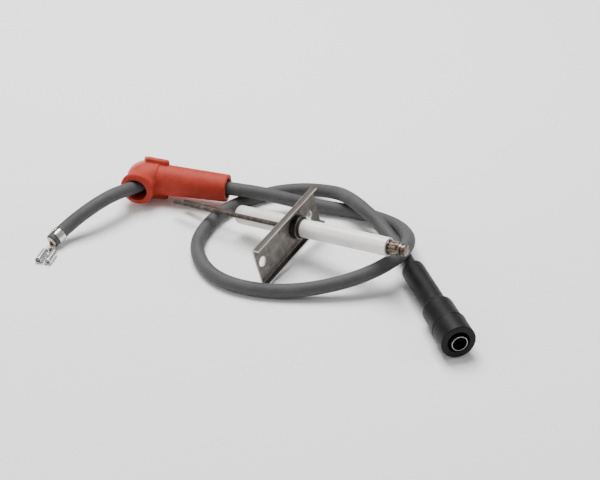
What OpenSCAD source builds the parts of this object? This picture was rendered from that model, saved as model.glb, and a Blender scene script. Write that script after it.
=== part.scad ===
// Spark ignition electrode for a gas burner, lying across the loop of its high-voltage lead.
// Electrode: ceramic insulator clamped in a steel ferrule on a channel bracket, with a spark rod
// on its axis and a ground rod beside it. Lead: 7 mm silicone cable with a rubber socket boot on
// one end, an elbow boot threaded on it and a flat push-on connector crimped to the other end.

/* [Bracket] */
// Length of the bracket, along its holes
bracket_length = 52.5; // [45:0.5:60]
// Height of the bracket over both flanges
bracket_height = 21.8; // [18:0.1:26]
// Depth of the flanges, plate included
flange_depth = 4.0; // [3:0.1:6]
// Sheet thickness
sheet = 1.0; // [0.8:0.1:1.5]
// Diameter of the two fixing holes
fixing_hole_d = 5.2; // [4:0.1:6]
// Distance between the fixing holes
fixing_pitch = 41; // [38:0.5:44]

/* [Insulator] */
// Diameter of the ceramic on the burner side
ceramic_burner_d = 9.6; // [8.8:0.1:10]
// Diameter of the ceramic on the terminal side
ceramic_terminal_d = 9.1; // [8:0.1:9.4]
// How far the ceramic stands out on the burner side
ceramic_burner_reach = 34.4; // [25:0.1:45]
// How far the ceramic stands out on the terminal side
ceramic_terminal_reach = 54.8; // [40:0.1:65]

/* [Rods] */
// Diameter of both rods
rod_d = 2.4; // [2:0.1:3]
// Reach of the spark rod from the bracket plate
spark_rod_reach = 70.3; // [60:0.1:80]
// Reach of the ground rod from the bracket plate
ground_rod_reach = 70.7; // [60:0.1:80]

/* [Terminal] */
// Diameter of the fluted terminal nut
nut_d = 6.8; // [6:0.1:7.2]
// Length of the fluted terminal nut
nut_length = 4.8; // [4:0.1:8]

/* [Lead] */
// Outside diameter of the cable
cable_d = 7.0; // [6:0.5:8]
// Length of the straight socket boot
socket_boot_length = 63.5; // [60:0.5:70]
// Largest diameter of the socket boot
socket_boot_d = 16.9; // [15:0.1:18]
// Outside diameter of the socket tube
socket_tube_d = 7.6; // [7.2:0.1:8.4]
// Length of the elbow boot's long arm
elbow_arm_length = 45.8; // [40:0.1:50]
// Outside diameter of the elbow boot's mouth
elbow_mouth_d = 18.0; // [15:0.1:19]

/* [Hidden] */
$fn = 64;

// Brings the middle of the electrode's footprint to the origin.
to_origin = [0.86, -0.62, 0];

// Electrode frame: X along the insulator towards the terminal, Y along the bracket, Z up it.
electrode_at = [3.36, -0.37, 15.91];
electrode_turn = [9.8, -8.4, -34.2];
bracket_near = -33.8;
bracket_far = bracket_near + bracket_length;
bracket_top = 11.1;
bracket_bottom = bracket_top - bracket_height;
bend_r = 1.6;
near_hole = [-29.6, 1.0];
hole_row_drop = 2.8;
far_hole = near_hole + [sqrt(fixing_pitch ^ 2 - hole_row_drop ^ 2), -hole_row_drop];

// Ferrule: a turned collar through the bracket plate.
ferrule_r = 5.9;
ferrule_front = 4.4;
ferrule_back = -2.2;
ferrule_bore_r = 5.1;
ear_turn = 41;
ear_reach = 12;
ear_width = 5;
ear_t = 1.2;
ferrule_welds = [[5.3, 5.4], [8.6, 6.6]];
nugget_r = 1.2;
packing_front = 5.8;
step_x = 0.6;

// Rods.
rod_r = rod_d / 2;
rod_bore_r = rod_r + 0.1;
ground_rod_at = [-6.0, 4.4];
ground_foot_length = 9;
ground_foot_rise = 10;
ground_bend_r = 3.0;
ground_weld = [-12.4, 5.7];
tip_chamfer = 0.3;
tip_cement_r = 2.0;
tip_cement_depth = 2.5;
terminal_cement_r = 2.6;
terminal_cement_depth = 3.0;

// Terminal, stacked outwards from the end of the ceramic.
washer_r = 3.75;
washer_t = 0.8;
nut_start = ceramic_terminal_reach + washer_t;
nut_end = nut_start + nut_length;
flute_count = 12;
flute_r = 0.5;
stud_bore_r = 1.0;
band_r = 3.15;
band_length = 1.8;
groove_r = 2.5;
groove_length = 0.8;
head_r = 2.9;
head_length = 1.4;

// Socket boot frame: Z along the boot from where the cable enters it to its open end.
socket_boot_at = [60.24, -23.9, 6.56];
socket_boot_turn = [0, 87.8, -74.7];
neck_r = 5.75;
body_r = 7.7;
cuff_r = socket_boot_d / 2;
neck_end = 34.4;
body_start = 36.9;
cuff_start = 51.0;
boot_cable_r = cable_d / 2 + 0.05;
jacket_stop = 23.2;
insulation_stop = 27.2;
tube_start = 29.2;
tube_base_end = 30.2;
tube_proud = 1.2;
tube_wall = 0.45;
cavity_start = 43.2;
cavity_r = 5.2;
tube_r = socket_tube_d / 2;
tube_end = socket_boot_length + tube_proud;
clip_at = 55.2;
clip_wire_r = 0.3;
pin_r = 1.4;
pin_collar_r = 2.2;
pin_collar_t = 1.2;
pin_socket_depth = 2;

// Elbow boot frame: X along the long arm from the bend, Y away from the mouth.
elbow_at = [-75.8, 54.85, 11];
elbow_turn = -14.3;
arm_start_r = 8.5;
arm_end_r = 7.2;
arm_bore_r = 5.1;
mouth_reach = 14.1;
mouth_r = elbow_mouth_d / 2;
mouth_bore_r = 5.8;
mouth_bore_back = 5.0;
mouth_neck_r = 8.4;
mouth_bevel = 1.2;
hood_length = 8.5;
hood_r = 8.9;
relief_shift = 3.2;
relief_r = 5.5;
relief_half = 3.8;
rib_start = -0.5;
rib_length = 13.8;
rib_width = 4.0;
rib_tip_r = 11.3;
rib_foot_r = 10.8;
rib_lean = 15;

// Flat push-on connector frame: X outwards from the cable's end, Z up from the floor.
cable_end = [-118.1, 4.3, 3.9];
cable_end_yaw = -130.9;
cable_end_dip = 18.6;
connector_at = [-116.9, 5.0, 0];
connector_turn = -104;
strip = 0.4;
strap_start = -6.4;
strap_end = -2.4;
strap_r = cable_d / 2 + strip;
strap_gap = 1.8;
insulation_r = 2.6;
conductor_r = 0.9;
barrel_start = 2.9;
barrel_end = 5.2;
barrel_r = 1.5;
barrel_gap = 0.7;
neck_width = 2.8;
receptacle_start = 6.6;
receptacle_length = 9.4;
receptacle_width = 8.4;
curl_r = 1.7;

// Centre line of the cable, from inside the socket boot to the flat connector.
cable_route = [
    [66.3, -46.3, 7.45], [59.5, -21.2, 6.45], [56.0, -8.4, 5.95], [51.5, 3.5, 6.3],
    [44.0, 16.5, 9.0], [36.5, 26.2, 11.2], [28.0, 38.2, 10.3], [20.0, 47.0, 7.1],
    [7.5, 53.3, 4.2], [-6.0, 51.8, 3.6], [-19.0, 45.5, 3.55], [-31.0, 35.6, 3.55],
    [-40.5, 20.5, 3.55], [-45.0, 4.0, 3.55], [-42.4, -13.0, 3.55], [-33.0, -27.5, 3.55],
    [-17.5, -36.0, 3.6], [-1.5, -38.5, 3.9], [13.0, -38.3, 5.4], [27.0, -36.7, 8.0],
    [39.5, -33.5, 11.2], [50.0, -27.0, 13.4], [57.0, -17.0, 13.7], [59.3, -7.5, 12.2],
    [58.5, 3.5, 9.3], [55.0, 15.0, 6.1], [48.0, 24.0, 4.2], [36.5, 30.8, 3.9],
    [22.5, 35.6, 3.9], [8.0, 37.6, 5.6], [-6.0, 38.0, 9.3], [-18.0, 40.0, 10.9],
    [-31.4, 43.5, 11.0], [-59.0, 50.6, 11.0], [-67.5, 51.9, 11.0], [-74.0, 49.9, 11.2],
    [-78.8, 44.6, 11.8], [-88.2, 33.8, 13.8], [-99.5, 22.3, 12.6], [-110.6, 12.9, 7.7],
    [-118.1, 4.3, 3.9]
];
cable_sides = 12;
steps_between = 2;

// Smooth curve through the route: the four-point blend that passes through every point.
function route_at(i) = cable_route[max(0, min(len(cable_route) - 1, i))];
function blend(a, b, c, d, t) =
    (2 * b + (c - a) * t + (2 * a - 5 * b + 4 * c - d) * t ^ 2
    + (3 * b - a - 3 * c + d) * t ^ 3) / 2;
cable_points = [
    for (i = [0:len(cable_route) - 2]) for (k = [0:steps_between - 1])
        to_origin
        + blend(route_at(i - 1), route_at(i), route_at(i + 1), route_at(i + 2), k / steps_between),
    to_origin + cable_route[len(cable_route) - 1]
];
function unit(v) = v / norm(v);
function heading(p, i) = unit(p[min(len(p) - 1, i + 1)] - p[max(0, i - 1)]);
function ring_point(p, i, a, r) =
    let (t = heading(p, i), side = unit(cross(t, [0, 0, 1])), up = cross(side, t))
    p[i] + r * (cos(a) * side + sin(a) * up);

// A round tube of radius r swept along the points p, closed at both ends.
module swept_tube(p, r, sides) {
    rings = len(p);
    points = [for (i = [0:rings - 1]) for (k = [0:sides - 1]) ring_point(p, i, 360 * k / sides, r)];
    walls = [for (i = [0:rings - 2]) for (k = [0:sides - 1])
        let (n = (k + 1) % sides)
        [i * sides + k, i * sides + n, (i + 1) * sides + n, (i + 1) * sides + k]];
    first = [for (k = [sides - 1:-1:0]) k];
    last = [for (k = [0:sides - 1]) (rings - 1) * sides + k];
    polyhedron(points, concat([first], walls, [last]));
}

module on_electrode() translate(to_origin + electrode_at) rotate(electrode_turn) children();
module on_socket_boot() translate(to_origin + socket_boot_at) rotate(socket_boot_turn) children();
module on_elbow() translate(to_origin + elbow_at) rotate([0, 0, elbow_turn]) children();
module on_connector() translate(to_origin + connector_at) rotate([0, 0, connector_turn]) children();
module on_cable_end() translate(to_origin + cable_end) rotate([0, cable_end_dip, cable_end_yaw]) children();

// Turns a profile of [radius, x] points about the electrode's X axis.
module turned(profile) rotate([0, 90, 0]) rotate_extrude() polygon(profile);
module bar_x(r, from, to) translate([from, 0, 0]) rotate([0, 90, 0]) cylinder(r = r, h = to - from);
module tube_z(outer, inner, from, to) {
    difference() {
        translate([0, 0, from]) cylinder(r = outer, h = to - from);
        translate([0, 0, from - 1]) cylinder(r = inner, h = to - from + 2);
    }
}

// A rectangle with round corners on its left side only.
module left_rounded(right, low, high, r) {
    translate([r, low]) square([right - r, high - low]);
    translate([0, low + r]) square([right, high - low - 2 * r]);
    for (y = [low + r, high - r]) translate([r, y]) circle(r);
}

module mounting_bracket() {
    color("#5d5a57") on_electrode() difference() {
        translate([0, bracket_far, 0]) rotate([90, 0, 0]) linear_extrude(bracket_length)
            difference() {
                left_rounded(flange_depth, bracket_bottom, bracket_top, bend_r);
                translate([sheet, 0])
                    left_rounded(flange_depth, bracket_bottom + sheet, bracket_top - sheet,
                                 bend_r - sheet);
            }
        for (hole = [near_hole, far_hole])
            translate([0, hole[0], hole[1]]) bar_x(fixing_hole_d / 2, -1, sheet + 1);
        bar_x(ferrule_r, -1, sheet + 1);
    }
}

// Steel collar pressed through the plate, with an ear behind the plate that is welded to it.
module ferrule() {
    color("#3f3b38") on_electrode() union() {
        turned([
            [ceramic_burner_d / 2, ferrule_back], [ferrule_r - 0.3, ferrule_back],
            [ferrule_r, ferrule_back + 0.3], [ferrule_r, ferrule_front - 0.3],
            [ferrule_r - 0.3, ferrule_front], [ferrule_bore_r, ferrule_front],
            [ferrule_bore_r, step_x], [ceramic_burner_d / 2, step_x]
        ]);
        rotate([ear_turn, 0, 0]) difference() {
            translate([-ear_t, 0, -ear_width / 2]) cube([ear_t, ear_reach, ear_width]);
            bar_x(ferrule_bore_r + 0.4, -ear_t - 1, 1);
        }
    }
}

// Raised spots where the ferrule's ear and the ground rod's foot are welded to the plate.
module weld_nuggets() {
    color("#6e5b4c") on_electrode() for (at = concat(ferrule_welds, [ground_weld]))
        translate([sheet, at[0], at[1]])
            turned([[0, 0], [nugget_r, 0], [0.85 * nugget_r, 0.3], [0.4 * nugget_r, 0.55], [0, 0.6]]);
}

module packing_ring() {
    color("#1c1b1a") on_electrode() turned([
        [ceramic_terminal_d / 2, step_x], [ferrule_bore_r, step_x],
        [ferrule_bore_r, packing_front], [ceramic_terminal_d / 2, packing_front]
    ]);
}

module ceramic_insulator() {
    burner_r = ceramic_burner_d / 2;
    terminal_r = ceramic_terminal_d / 2;
    nose_r = 2.0;
    edge = 0.4;
    color("#f1ece4") on_electrode() turned([
        [tip_cement_r, -ceramic_burner_reach],
        for (a = [90:-15:0]) [burner_r - nose_r + nose_r * cos(a),
                              nose_r - ceramic_burner_reach - nose_r * sin(a)],
        [burner_r, step_x], [terminal_r, step_x],
        [terminal_r, ceramic_terminal_reach - edge], [terminal_r - edge, ceramic_terminal_reach],
        [terminal_cement_r, ceramic_terminal_reach],
        [terminal_cement_r, ceramic_terminal_reach - terminal_cement_depth],
        [rod_bore_r, ceramic_terminal_reach - terminal_cement_depth],
        [rod_bore_r, tip_cement_depth - ceramic_burner_reach],
        [tip_cement_r, tip_cement_depth - ceramic_burner_reach]
    ]);
}

// Spark rod: bare at the burner end, turned down to a stud inside the terminal.
module spark_rod() {
    color("#4a3c33") on_electrode() turned([
        [0, -spark_rod_reach], [rod_r - tip_chamfer, -spark_rod_reach],
        [rod_r, tip_chamfer - spark_rod_reach], [rod_r, nut_start],
        [stud_bore_r, nut_start], [stud_bore_r, nut_end + 1], [0, nut_end + 1]
    ]);
}

// Ground rod: runs beside the spark rod, then bends so that its foot lies on the plate's back.
module ground_rod() {
    straight_end = -rod_r - ground_bend_r;
    color("#4a3c33") on_electrode() translate([0, ground_rod_at[0], ground_rod_at[1]])
        rotate([-ground_foot_rise, 0, 0]) union() {
            turned([
                [0, -ground_rod_reach], [rod_r - tip_chamfer, -ground_rod_reach],
                [rod_r, tip_chamfer - ground_rod_reach], [rod_r, straight_end],
                [0, straight_end]
            ]);
            translate([straight_end, -ground_bend_r, 0]) intersection() {
                rotate_extrude() translate([ground_bend_r, 0]) circle(rod_r);
                translate([0, 0, -rod_r - 1]) cube([2 * ground_bend_r, 2 * ground_bend_r, 2 * rod_r + 2]);
            }
            translate([-rod_r, -ground_bend_r, 0]) rotate([90, 0, 0])
                cylinder(r = rod_r, h = ground_foot_length - ground_bend_r);
        }
}

module tip_cement() {
    color("#e3dccf") on_electrode() turned([
        [rod_r, -ceramic_burner_reach], [tip_cement_r, -ceramic_burner_reach],
        [tip_cement_r, tip_cement_depth - ceramic_burner_reach],
        [rod_r, tip_cement_depth - ceramic_burner_reach]
    ]);
}

module terminal_cement() {
    color("#e3dccf") on_electrode() turned([
        [rod_r, ceramic_terminal_reach - terminal_cement_depth],
        [terminal_cement_r, ceramic_terminal_reach - terminal_cement_depth],
        [terminal_cement_r, ceramic_terminal_reach], [rod_r, ceramic_terminal_reach]
    ]);
}

module terminal_washer() {
    color("#8d8478") on_electrode() turned([
        [rod_r, ceramic_terminal_reach], [washer_r, ceramic_terminal_reach],
        [washer_r, nut_start - 0.25], [washer_r - 0.25, nut_start], [rod_r, nut_start]
    ]);
}

// Fluted nut that clamps the washer against the ceramic.
module terminal_nut() {
    color("#9a8f80") on_electrode() difference() {
        bar_x(nut_d / 2, nut_start, nut_end);
        bar_x(stud_bore_r, nut_start - 1, nut_end + 1);
        for (k = [0:flute_count - 1]) rotate([360 * k / flute_count, 0, 0])
            translate([0, nut_d / 2 + 0.1, 0]) bar_x(flute_r, nut_start - 1, nut_end - 0.6);
    }
}

// Snap stud: the bright band, groove and round head that the lead's socket grips.
module snap_stud() {
    band_end = nut_end + band_length;
    groove_end = band_end + groove_length;
    head_end = groove_end + head_length;
    color("#b8b0a4") on_electrode() turned([
        [stud_bore_r, nut_end], [band_r - 0.3, nut_end], [band_r, nut_end + 0.3],
        [band_r, band_end - 0.3], [band_r - 0.3, band_end], [groove_r, band_end],
        [groove_r, groove_end], [head_r - 0.2, groove_end], [head_r, groove_end + 0.3],
        [head_r, head_end - 0.5], [head_r - 0.5, head_end], [0, head_end], [0, nut_end + 1],
        [stud_bore_r, nut_end + 1]
    ]);
}

module cable_jacket() {
    color("#5f6062") swept_tube(cable_points, cable_d / 2, cable_sides);
}

// Inner insulation bared at both ends of the cable.
module inner_insulation() {
    color("#e6dcc2") {
        on_socket_boot() tube_z(insulation_r, conductor_r, jacket_stop, insulation_stop);
        on_cable_end() difference() {
            bar_x(insulation_r, 0, 0.8);
            bar_x(conductor_r, -1, 1.8);
        }
    }
}

// Stranded conductor bared at both ends of the cable, bent down into the connector's barrel.
module conductor() {
    color("#b98a5e") {
        on_socket_boot() translate([0, 0, jacket_stop])
            cylinder(r = conductor_r, h = insulation_stop + pin_socket_depth - jacket_stop);
        on_cable_end() bar_x(conductor_r, 0, 1.2);
        hull() {
            on_cable_end() bar_x(conductor_r, 1.1, 1.2, $fn = 16);
            on_connector() translate([0, 0, barrel_r])
                bar_x(conductor_r, barrel_start - 0.4, barrel_start - 0.3, $fn = 16);
        }
        on_connector() translate([0, 0, barrel_r])
            bar_x(conductor_r, barrel_start - 0.4, barrel_end + 0.6);
    }
}

// A bar with round ends, standing on the bend and leaning by an angle.
module elbow_rib(tip_r, lean) {
    half = rib_width / 2;
    rotate([lean, 0, 0]) translate([rib_start, 0, mouth_bore_r + 1.5])
        linear_extrude(tip_r - mouth_bore_r - 1.5) polygon([
            for (a = [-90:22.5:90]) [rib_length - half + half * cos(a), half * sin(a)],
            for (a = [90:22.5:270]) [half + half * cos(a), half * sin(a)]
        ]);
}

// Hollow right-angle boot: long tapered arm, rounded bend, short mouth with a bevelled ring face.
module elbow_boot() {
    hood_end_r = arm_start_r - (arm_start_r - arm_end_r) * hood_length / elbow_arm_length;
    color("#c4513f") on_elbow() difference() {
        union() {
            turned([
                for (a = [90:-15:0]) [hood_r * cos(a), -hood_r * sin(a)],
                [hood_r, hood_length], [hood_end_r, hood_length],
                [arm_end_r, elbow_arm_length], [0, elbow_arm_length]
            ]);
            rotate([90, 0, 0]) rotate_extrude() polygon([
                [0, 0], [mouth_neck_r, 0], [mouth_neck_r, hood_r - 1],
                [mouth_r, mouth_reach - mouth_bevel], [mouth_r - mouth_bevel, mouth_reach],
                [0, mouth_reach]
            ]);
            elbow_rib(rib_tip_r, -rib_lean);
            mirror([0, 0, 1]) elbow_rib(rib_foot_r, rib_lean);
        }
        rotate([0, 90, 0]) cylinder(r = arm_bore_r, h = elbow_arm_length + 1);
        rotate([90, 0, 0]) rotate_extrude() polygon([
            [0, -mouth_bore_back], [mouth_bore_r - 1.4, -mouth_bore_back],
            [mouth_bore_r, 1.4 - mouth_bore_back],
            [mouth_bore_r, mouth_reach + 1], [0, mouth_reach + 1]
        ]);
        translate([relief_shift, -relief_shift, -relief_half])
            cylinder(r = relief_r, h = 2 * relief_half);
    }
}

// Straight stepped boot, moulded in one piece with a blind grip for the socket tube.
module socket_boot() {
    round_r = 2.2;
    color("#232323") on_socket_boot() rotate_extrude() polygon([
        [boot_cable_r, 0],
        for (a = [90:-18:0]) [neck_r - round_r + round_r * cos(a), round_r - round_r * sin(a)],
        [neck_r, neck_end], [body_r - 1.0, neck_end + 0.4], [body_r - 0.3, neck_end + 1.1],
        [body_r, body_start], [body_r, cuff_start], [cuff_r, cuff_start],
        [cuff_r, socket_boot_length - 0.8], [cuff_r - 0.25, socket_boot_length - 0.2],
        [cuff_r - 0.8, socket_boot_length], [cavity_r, socket_boot_length],
        [cavity_r, cavity_start], [tube_r, cavity_start], [tube_r, tube_start],
        [boot_cable_r, tube_start]
    ]);
}

// Metal socket: thin tube with a closed base that the pin passes through.
module socket_tube() {
    color("#c9c7c2") on_socket_boot() {
        difference() {
            translate([0, 0, tube_start]) cylinder(r = tube_r, h = tube_end - tube_start);
            translate([0, 0, tube_base_end]) cylinder(r = tube_r - tube_wall, h = tube_end);
            translate([0, 0, tube_start - 1]) cylinder(r = pin_r, h = 3);
        }
    }
}

// Brass pin crimped on the conductor, its collar behind the socket's base and its end flush in it.
module socket_pin() {
    color("#b79a55") on_socket_boot() difference() {
        union() {
            translate([0, 0, insulation_stop]) cylinder(r = pin_r, h = tube_base_end - insulation_stop);
            translate([0, 0, tube_start - pin_collar_t]) cylinder(r = pin_collar_r, h = pin_collar_t);
        }
        translate([0, 0, insulation_stop - 1]) cylinder(r = conductor_r, h = pin_socket_depth + 1);
    }
}

// Round wire clip that tightens the socket tube on the snap stud.
module socket_clip() {
    color("#8f8f8f") on_socket_boot() translate([0, 0, clip_at])
        rotate_extrude() translate([tube_r + clip_wire_r, 0]) circle(clip_wire_r, $fn = 24);
}

// Strap crimped round the end of the jacket, open on top where its two ears meet.
module jacket_strap() {
    on_cable_end() difference() {
        bar_x(strap_r, strap_start, strap_end);
        bar_x(cable_d / 2, strap_start - 1, strap_end + 1);
        translate([strap_start - 1, -strap_gap / 2, 0])
            cube([strap_end - strap_start + 2, strap_gap, strap_r + 1]);
    }
}

// Open barrel folded round the bared conductor.
module wire_barrel() {
    on_connector() difference() {
        translate([0, 0, barrel_r]) bar_x(barrel_r, barrel_start, barrel_end);
        translate([0, 0, barrel_r]) bar_x(barrel_r - strip, barrel_start - 1, barrel_end + 1);
        translate([barrel_start - 1, -barrel_gap / 2, barrel_r])
            cube([barrel_end - barrel_start + 2, barrel_gap, barrel_r + 1]);
    }
}

// Female receptacle: a floor with both edges rolled inwards over the slot for the tab.
module receptacle() {
    half = receptacle_width / 2;
    end = receptacle_start + receptacle_length;
    slot_half = half - 2 * curl_r + 0.8;
    on_connector() difference() {
        union() {
            translate([receptacle_start, curl_r - half, 0])
                cube([receptacle_length, receptacle_width - 2 * curl_r, strip]);
            for (y = [curl_r - half, half - curl_r]) translate([0, y, curl_r]) difference() {
                bar_x(curl_r, receptacle_start, end);
                bar_x(curl_r - strip, receptacle_start - 1, end + 1);
            }
        }
        translate([receptacle_start - 1, -slot_half, strip])
            cube([receptacle_length + 2, 2 * slot_half, 0.9]);
        translate([receptacle_start + receptacle_length / 2, 0, -1]) cylinder(r = 0.8, h = 3);
    }
}

// Push-on connector, one stamping: strap, neck, wire barrel and receptacle.
module flat_connector() {
    color("#cfd2d6") union() {
        jacket_strap();
        wire_barrel();
        receptacle();
        on_cable_end() translate([strap_end - 0.5, -neck_width / 2, -strap_r])
            cube([0.5 - strap_end, neck_width, strip]);
        hull() {
            on_cable_end() translate([-0.4, -1.3, -strap_r]) cube([0.5, 2.6, strip - 0.1]);
            on_connector() translate([barrel_start, -1, 0]) cube([0.5, 2, strip]);
        }
        on_connector() translate([barrel_end - 0.5, -neck_width / 2, 0])
            cube([receptacle_start - barrel_end + 1, neck_width, strip]);
    }
}

mounting_bracket();
ferrule();
weld_nuggets();
packing_ring();
ceramic_insulator();
spark_rod();
ground_rod();
tip_cement();
terminal_cement();
terminal_washer();
terminal_nut();
snap_stud();
cable_jacket();
inner_insulation();
conductor();
elbow_boot();
socket_boot();
socket_tube();
socket_pin();
socket_clip();
flat_connector();
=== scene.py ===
# %% [markdown]
# # A spark ignition electrode lying across the loop of its lead
# A spark lights a gas burner. The electrode carries it through the burner's wall: a rod in a
# ceramic tube, held by a steel ferrule in a channel bracket. The lead brings the high voltage: a
# silicone cable with a boot and a socket on one end and a flat connector on the other. Each cell
# below makes a piece or a finish. The model from CAD is loaded first, because every piece has to
# lie exactly where its CAD node lies.

# %% Load the frame
from math import radians, pi

import bmesh
import bpy
import numpy as np
from mathutils import Euler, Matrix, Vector


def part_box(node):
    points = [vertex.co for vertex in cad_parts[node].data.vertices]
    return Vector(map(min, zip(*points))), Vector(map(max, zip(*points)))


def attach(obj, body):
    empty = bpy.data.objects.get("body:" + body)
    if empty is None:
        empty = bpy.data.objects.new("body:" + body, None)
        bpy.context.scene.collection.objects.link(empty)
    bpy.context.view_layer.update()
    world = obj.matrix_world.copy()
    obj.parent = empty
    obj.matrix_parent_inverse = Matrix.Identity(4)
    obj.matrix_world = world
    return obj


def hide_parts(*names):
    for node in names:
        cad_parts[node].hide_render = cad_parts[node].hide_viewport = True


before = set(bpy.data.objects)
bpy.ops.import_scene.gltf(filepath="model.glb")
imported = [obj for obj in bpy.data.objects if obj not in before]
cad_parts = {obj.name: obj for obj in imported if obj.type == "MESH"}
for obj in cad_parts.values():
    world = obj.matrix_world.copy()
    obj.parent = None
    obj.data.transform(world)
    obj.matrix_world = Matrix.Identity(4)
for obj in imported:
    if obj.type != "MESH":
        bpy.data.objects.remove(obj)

MM = 0.001
to_origin = np.array([0.86, -0.62, 0.0])    # mm, brings the electrode's middle to the origin
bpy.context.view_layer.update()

# %% [markdown]
# ## Where the camera stands
# A long lens from far away keeps the parallel lines of the bracket nearly parallel. The camera
# looks along +Y and down by about a third of a right angle. Its distance follows from its height,
# so only the height, the tilt and the point it looks at are chosen.

# %% Camera
camera_target = Vector((6.96, 10.68, 0.0)) * MM
camera_height = 396.0 * MM
camera_tilt = radians(33.5)
distance = camera_height / np.sin(camera_tilt)

camera = bpy.data.objects.new("camera", bpy.data.cameras.new("camera"))
camera.data.lens = 85.0
camera.data.sensor_width = 36.0
camera.data.clip_start = 0.01
camera.location = camera_target + Vector((0, -np.cos(camera_tilt), np.sin(camera_tilt))) * distance
camera.rotation_euler = (pi / 2 - camera_tilt, 0, 0)
bpy.context.scene.collection.objects.link(camera)
bpy.context.scene.camera = camera
print("camera is", round(distance, 3), "m from what it looks at")

# %% [markdown]
# ## The cable's own line
# The cable is stiff silicone, 7 mm thick. It starts inside the black boot, makes one loop round the
# electrode, passes over itself in long low humps, goes through the red elbow boot and ends in the
# flat connector. A Bezier curve with a bevel would draw it fast, but its handles make flat spots.
# A natural cubic spline bends without a jump anywhere, as a real cable does, so that is used here.

# %% The route, and a curve with no kinks in it
cable_r = 3.5 * MM
cable_route = MM * (to_origin + np.array([
    [66.3, -46.3, 7.45], [59.5, -21.2, 6.45], [56.0, -8.4, 5.95], [51.5, 3.5, 6.3],
    [44.0, 16.5, 9.0], [36.5, 26.2, 11.2], [28.0, 38.2, 10.3], [20.0, 47.0, 7.1],
    [7.5, 53.3, 4.2], [-6.0, 51.8, 3.6], [-19.0, 45.5, 3.55], [-31.0, 35.6, 3.55],
    [-40.5, 20.5, 3.55], [-45.0, 4.0, 3.55], [-42.4, -13.0, 3.55], [-33.0, -27.5, 3.55],
    [-17.5, -36.0, 3.6], [-1.5, -38.5, 3.9], [13.0, -38.3, 5.4], [27.0, -36.7, 8.0],
    [39.5, -33.5, 11.2], [50.0, -27.0, 13.4], [57.0, -17.0, 13.7], [59.3, -7.5, 12.2],
    [58.5, 3.5, 9.3], [55.0, 15.0, 6.1], [48.0, 24.0, 4.2], [36.5, 30.8, 3.9],
    [22.5, 35.6, 3.9], [8.0, 37.6, 5.6], [-6.0, 38.0, 9.3], [-18.0, 40.0, 10.9],
    [-31.4, 43.5, 11.0], [-59.0, 50.6, 11.0], [-67.5, 51.9, 11.0], [-74.0, 49.9, 11.2],
    [-78.8, 44.6, 11.8], [-88.2, 33.8, 13.8], [-99.5, 22.3, 12.6], [-110.6, 12.9, 7.7],
    [-118.1, 4.3, 3.9]
]))


def smooth_curve(points, spacing):
    """Points about `spacing` apart on the natural cubic spline through `points`.

    Between two points p0 and p1, h apart, the curve is a p0 + b p1 + ((a^3 - a) m0 + (b^3 - b) m1)
    h^2 / 6, where a goes from 1 to 0 and b = 1 - a. The bends m are solved for all at once, so that
    the slope agrees at every point, and they are zero at the two ends.
    """
    chord = np.linalg.norm(np.diff(points, axis=0), axis=1)
    start = np.concatenate([[0.0], np.cumsum(chord)])
    inner = np.arange(1, len(points) - 1)
    system = np.eye(len(points))
    system[inner, inner - 1] = chord[:-1]
    system[inner, inner] = 2 * (chord[:-1] + chord[1:])
    system[inner, inner + 1] = chord[1:]
    slope = np.diff(points, axis=0) / chord[:, None]
    change = np.zeros_like(points)
    change[inner] = 6 * np.diff(slope, axis=0)
    bend = np.linalg.solve(system, change)

    at = np.linspace(0, start[-1], 5000)
    k = np.clip(np.searchsorted(start, at, side="right") - 1, 0, len(points) - 2)
    b = ((at - start[k]) / chord[k])[:, None]
    a = 1 - b
    swell = ((a**3 - a) * bend[k] + (b**3 - b) * bend[k + 1]) * chord[k, None] ** 2 / 6
    fine = a * points[k] + b * points[k + 1] + swell
    run = np.concatenate([[0.0], np.cumsum(np.linalg.norm(np.diff(fine, axis=0), axis=1))])
    even = np.linspace(0, run[-1], int(run[-1] / spacing) + 1)
    return np.stack([np.interp(even, run, fine[:, axis]) for axis in range(3)], -1), run[-1]


cable_line, cable_length = smooth_curve(cable_route, 0.8 * MM)
print("cable is", round(cable_length, 4), "m long, in", len(cable_line), "rings")

# %% [markdown]
# ## From arrays to a mesh
# Nearly every piece here is a grid of points that is computed as one array: rows follow the shape
# and columns go round it. One helper joins such a grid with four-sided faces and hands the arrays
# to Blender in bulk. Where a row shrinks to a point, its points are merged, which closes the end.

# %% Grids, meshes and fitting
def grid_quads(rows, columns, loop_rows=False, loop_columns=True):
    """Corner numbers of the faces between each row and the next and each column and the next."""
    i = np.arange(rows if loop_rows else rows - 1)[:, None]
    j = np.arange(columns if loop_columns else columns - 1)[None, :]
    up, on = (i + 1) % rows, (j + 1) % columns
    corners = [i * columns + j, i * columns + on, up * columns + on, up * columns + j]
    return np.stack(np.broadcast_arrays(*corners), -1).reshape(-1, 4)


def mesh_piece(name, points, faces, face_uv=None, sharp=40.0, merge=1e-7):
    """A Blender object from arrays: doubles merged, faces outwards, sharp corners kept."""
    mesh = bpy.data.meshes.new(name)
    mesh.from_pydata(points.reshape(-1, 3).tolist(), [], faces.tolist())
    if face_uv is not None:
        layer = mesh.uv_layers.new(name="along")
        layer.data.foreach_set("uv", face_uv.astype(np.float32).ravel())
    work = bmesh.new()
    work.from_mesh(mesh)
    bmesh.ops.remove_doubles(work, verts=work.verts, dist=merge)
    bmesh.ops.recalc_face_normals(work, faces=work.faces)
    work.to_mesh(mesh)
    work.free()
    mesh.shade_smooth()
    mesh.set_sharp_from_angle(angle=radians(sharp))
    piece = bpy.data.objects.new(name, mesh)
    bpy.context.scene.collection.objects.link(piece)
    return piece


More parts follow.
